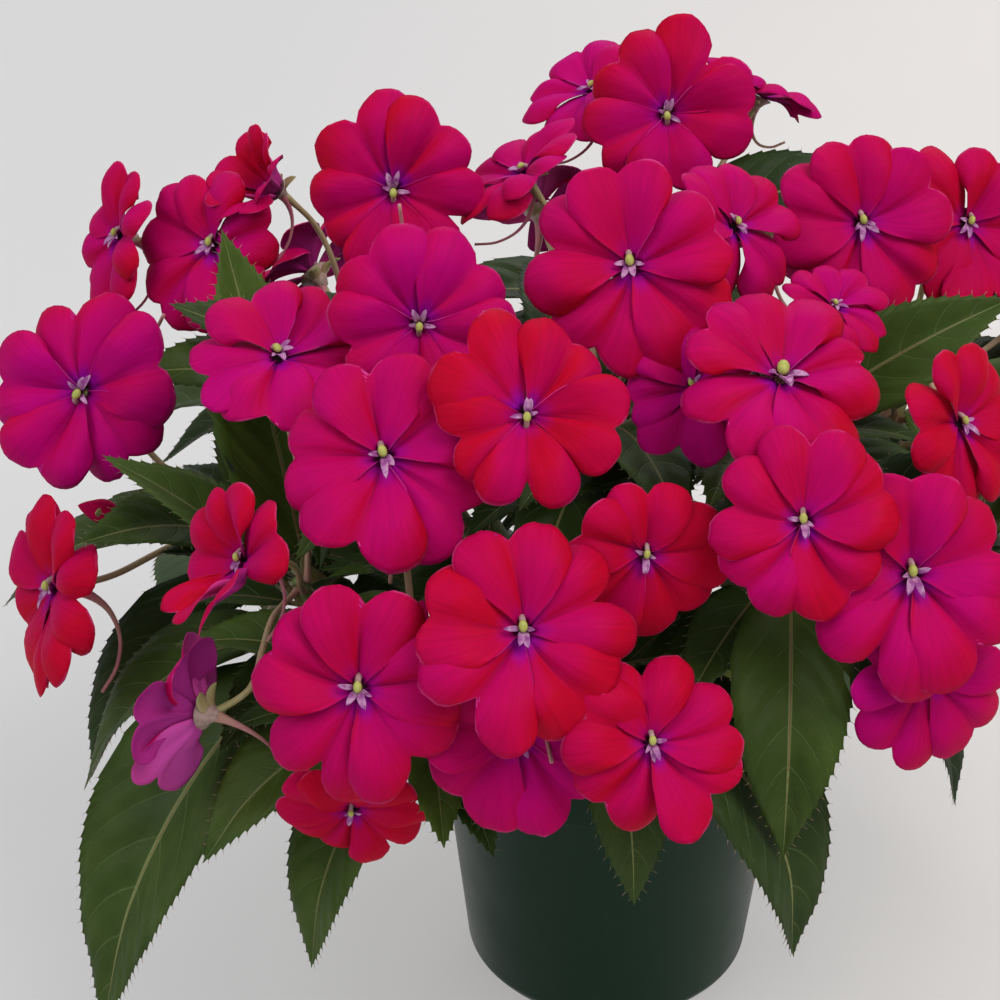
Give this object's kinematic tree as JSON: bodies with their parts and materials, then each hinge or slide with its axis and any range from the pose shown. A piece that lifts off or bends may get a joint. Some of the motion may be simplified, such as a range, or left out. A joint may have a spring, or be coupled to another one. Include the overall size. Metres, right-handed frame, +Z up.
{
  "type": "potted new guinea impatiens",
  "caption": "Bushy New Guinea impatiens in full bloom, with crimson and magenta flowers over dark toothed leaves, growing in a round tapered dark green plastic nursery pot.",
  "frame": {"origin": "centre of the pot's foot, on the surface it stands on", "axes": "+Z up along the pot's axis, -Y towards the viewer of the picture, +X to the viewer's right"},
  "size_m": [0.3642, 0.3127, 0.2872],
  "materials": {
    "pot_plastic": "satin moulded polypropylene",
    "potting_mix": "loose damp peat and bark with specks of perlite",
    "stem": "smooth juicy skin, pale green flushed with pink",
    "foliage": "dark satin leaf with a paler midrib",
    "petals": "velvety matte petal, crimson to magenta"
  },
  "bodies": {
    "root": {"pot": "pot_plastic", "soil": "potting_mix", "stem_front": "stem", "stem_right": "stem", "stem_left": "stem", "stem_middle": "stem", "stem_back": "stem", "stem_back_left": "stem", "leaves_front_left": "foliage", "leaves_front": "foliage", "leaves_front_right": "foliage", "leaves_right": "foliage", "leaves_left_front": "foliage", "leaves_left": "foliage", "leaves_top_left": "foliage", "leaves_top": "foliage", "leaves_top_right": "foliage", "leaves_top_back": "foliage", "leaves_left_back": "foliage", "leaves_right_back": "foliage", "leaves_back": "foliage", "leaves_back_left": "foliage", "flower_01": "petals", "flower_02": "petals", "flower_03": "petals", "flower_04": "petals", "flower_05": "petals", "flower_06": "petals", "flower_07": "petals", "flower_08": "petals", "flower_09": "petals", "flower_10": "petals", "flower_11": "petals", "flower_12": "petals", "flower_13": "petals", "flower_14": "petals", "flower_15": "petals", "flower_16": "petals", "flower_17": "petals", "flower_18": "petals", "flower_19": "petals", "flower_20": "petals", "flower_21": "petals", "flower_22": "petals", "flower_23": "petals", "flower_24": "petals", "flower_25": "petals", "flower_26": "petals", "flower_27": "petals", "flower_28": "petals", "flower_29": "petals", "flower_30": "petals", "flower_31": "petals", "flower_32": "petals", "flower_33": "petals", "flower_34": "petals", "flower_35": "petals", "flower_36": "petals", "flower_37": "petals", "flower_38": "petals"}
  },
  "joints": []
}
